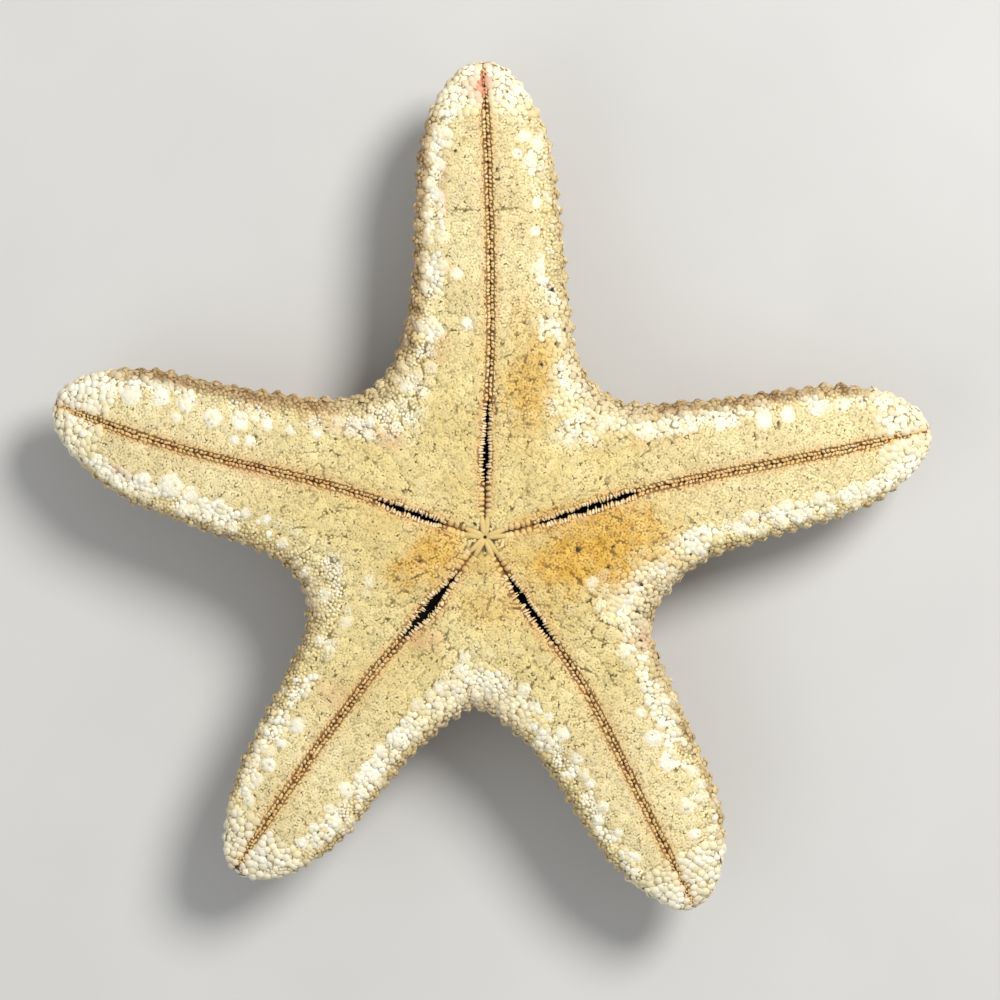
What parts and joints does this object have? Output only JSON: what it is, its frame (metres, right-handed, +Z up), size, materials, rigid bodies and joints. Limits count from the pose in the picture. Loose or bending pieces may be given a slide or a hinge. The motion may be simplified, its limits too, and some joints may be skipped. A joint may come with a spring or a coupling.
{
  "type": "dried starfish",
  "caption": "Dried five-armed starfish lying on its back, mouth side up, with open furrows, beaded margins and blunt knobs underneath; a natural decoration.",
  "frame": {"origin": "middle of the footprint's bounding box, at the level that the knobs of the back rest on", "axes": "+Z up, out of the mouth side; +Y along the arm that points to the top of the picture; +X to the picture's right"},
  "size_m": [0.2036, 0.1964, 0.0322],
  "materials": {
    "skin": "matte dried granular skin, straw cream with chalky white margins and ochre stains"
  },
  "bodies": {
    "root": {"starfish": "skin"}
  },
  "joints": []
}
